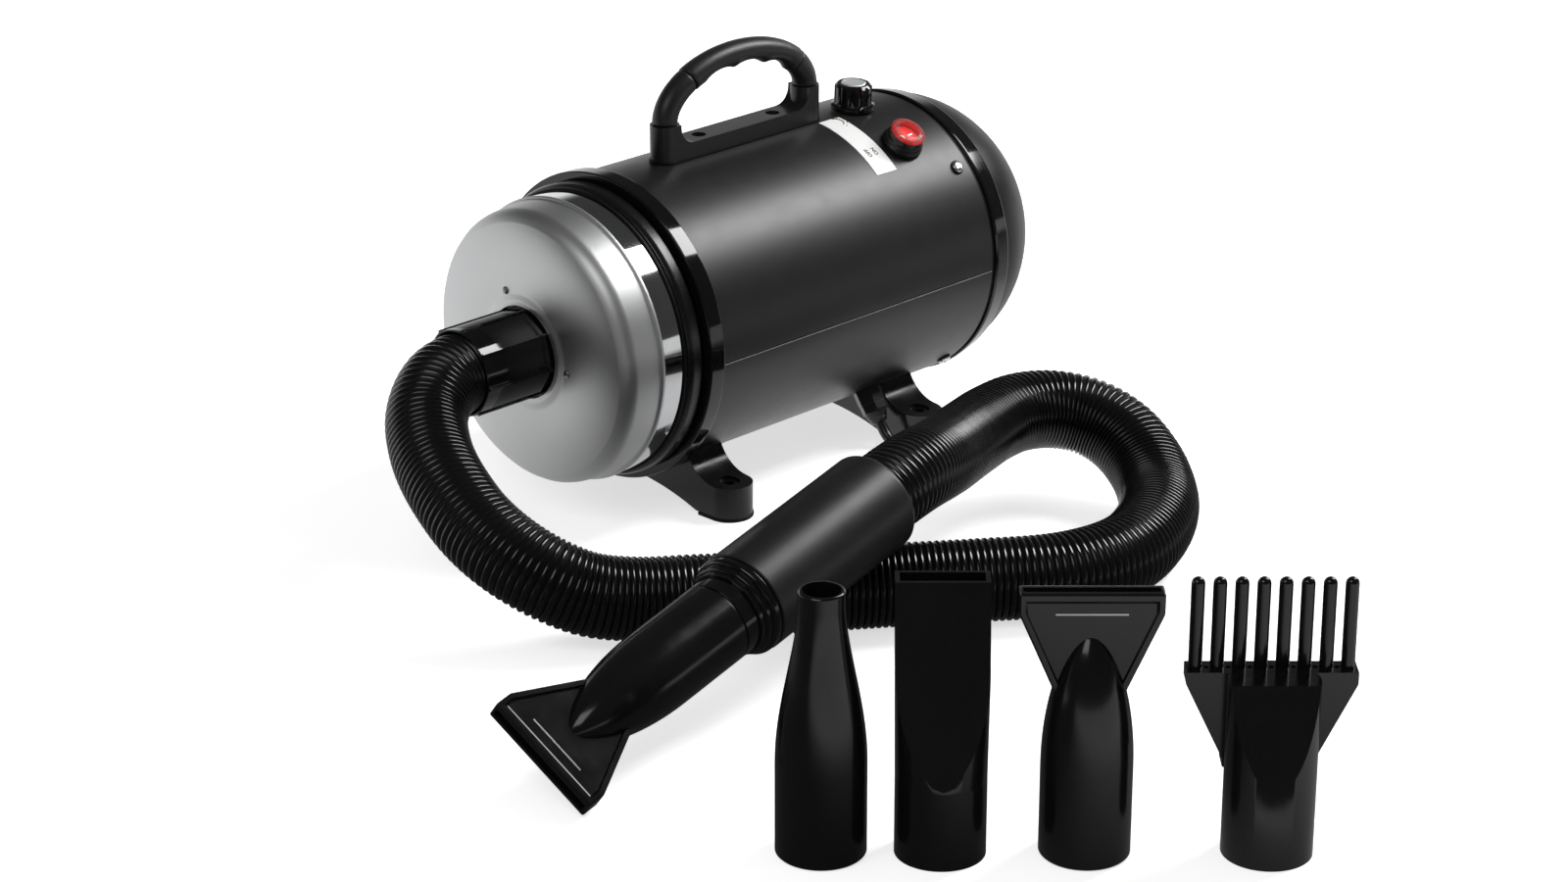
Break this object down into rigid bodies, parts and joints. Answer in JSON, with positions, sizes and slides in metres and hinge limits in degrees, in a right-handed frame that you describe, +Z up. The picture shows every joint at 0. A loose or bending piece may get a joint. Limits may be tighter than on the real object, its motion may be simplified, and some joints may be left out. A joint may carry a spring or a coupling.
{
  "type": "pet dryer",
  "caption": "Barrel-shaped pet blow dryer with a carrying handle, ribbed air hose, hand wand and push-fit nozzles.",
  "frame": {"origin": "centre of the four foot holes, on the surface that the dryer stands on", "axes": "+Z up; +X from the outlet bowl to the rear intake, along the barrel; -Y is the side with the power switch"},
  "size_m": [0.596, 0.7684, 0.2455],
  "materials": {
    "barrel_coat": "satin powder coat, fine grain",
    "gloss_black": "gloss",
    "satin_black": "semi-gloss",
    "seal_rubber": "matte",
    "polished_steel": "polished",
    "satin_steel": "satin, pearl",
    "screw_steel": "satin",
    "dome_plastic": "matte",
    "filter_foam": "open foam",
    "handle_plastic": "satin",
    "soft_grip": "soft touch",
    "dial_white": "satin",
    "boot_rubber": "matte",
    "clear_window": "clear",
    "rocker_red": "translucent gloss",
    "bracket_coat": "semi-gloss",
    "gland_nylon": "satin",
    "lead_jacket": "satin",
    "hose_plastic": "gloss",
    "wand_plastic": "matte",
    "nozzle_black": "gloss",
    "pressed_steel": "zinc plated",
    "motor_case": "as cast",
    "motor_core": "lacquered laminations",
    "bearing_steel": "ground",
    "rotor_copper": "lacquered",
    "heater_frame": "plain"
  },
  "bodies": {
    "dryer": {"barrel": "barrel_coat", "front_band": "gloss_black", "front_seal": "seal_rubber", "front_ring": "satin_black", "bowl_gasket": "seal_rubber", "bowl_band": "polished_steel", "front_bowl": "satin_steel", "outlet_collar": "gloss_black", "collar_rivets": "screw_steel", "rear_gasket": "seal_rubber", "rear_ring": "gloss_black", "rear_dome": "dome_plastic", "intake_grille": "dome_plastic", "grille_screws": "screw_steel", "intake_filter": "filter_foam", "casing_screws": "polished_steel", "screw_washers": "seal_rubber", "handle_base": "handle_plastic", "handle_gasket": "seal_rubber", "handle_front_sleeve": "soft_grip", "handle_grip": "soft_grip", "handle_rear_sleeve": "soft_grip", "handle_screws": "screw_steel", "dial_strip": "dial_white", "speed_potentiometer": "motor_case", "potentiometer_nut": "screw_steel", "switch_boot": "boot_rubber", "switch_window": "clear_window", "switch_body": "satin_black", "front_bracket": "bracket_coat", "rear_bracket": "bracket_coat", "front_foot_pads": "boot_rubber", "rear_foot_pads": "boot_rubber", "bracket_screws": "screw_steel", "cable_gland": "gland_nylon", "gland_cap": "gland_nylon", "gland_locknut": "gland_nylon", "mains_lead": "lead_jacket", "lead_coil": "lead_jacket", "coil_tie": "lead_jacket", "mains_plug": "lead_jacket", "air_hose": "hose_plastic", "wand_grip": "wand_plastic", "wand_ring": "nozzle_black", "wand_spigot": "nozzle_black", "bulkhead": "pressed_steel", "fan_shroud": "pressed_steel", "motor_frame": "motor_case", "motor_stator": "motor_core", "motor_bearings": "bearing_steel", "heater": "heater_frame"},
    "knob": {"speed_knob": "gloss_black", "knob_cap": "polished_steel"},
    "rocker": {"power_rocker": "rocker_red"},
    "rotor": {"motor_rotor": "rotor_copper"},
    "wand_nozzle": {"fan_nozzle": "nozzle_black"},
    "loose_round_nozzle": {"round_nozzle": "nozzle_black"},
    "loose_slant_nozzle": {"slant_nozzle": "nozzle_black"},
    "loose_fan_nozzle": {"spare_fan_nozzle": "nozzle_black"},
    "loose_comb_nozzle": {"comb_nozzle": "nozzle_black"}
  },
  "joints": [
    {"name": "speed_knob_turn", "type": "hinge", "parent": "dryer", "child": "knob", "pos_m": [0.09, -0.0044, 0.19189], "axis": [0, -0.0488, 0.9988], "range_deg": [0, 270]},
    {"name": "power_rocker_press", "type": "hinge", "parent": "dryer", "child": "rocker", "pos_m": [0.088, -0.04584, 0.17536], "axis": [0, 0.848, 0.5299], "range_deg": [0, 16]},
    {"name": "motor_spin", "type": "hinge", "parent": "dryer", "child": "rotor", "pos_m": [0, 0, 0.102], "axis": [1, 0, 0], "continuous": true},
    {"name": "fan_nozzle_turn", "type": "hinge", "parent": "dryer", "child": "wand_nozzle", "pos_m": [-0.1385, -0.2378, 0.0745], "axis": [-0.9779, -0.0959, -0.1857], "range_deg": [0, 78]},
    {"name": "round_nozzle_lift", "type": "slide", "parent": "dryer", "child": "loose_round_nozzle", "axis": [0, 0, 1], "range_m": [0, 0.15]},
    {"name": "slant_nozzle_lift", "type": "slide", "parent": "dryer", "child": "loose_slant_nozzle", "axis": [0, 0, 1], "range_m": [0, 0.15]},
    {"name": "spare_fan_nozzle_lift", "type": "slide", "parent": "dryer", "child": "loose_fan_nozzle", "axis": [0, 0, 1], "range_m": [0, 0.15]},
    {"name": "comb_nozzle_lift", "type": "slide", "parent": "dryer", "child": "loose_comb_nozzle", "axis": [0, 0, 1], "range_m": [0, 0.15]}
  ]
}
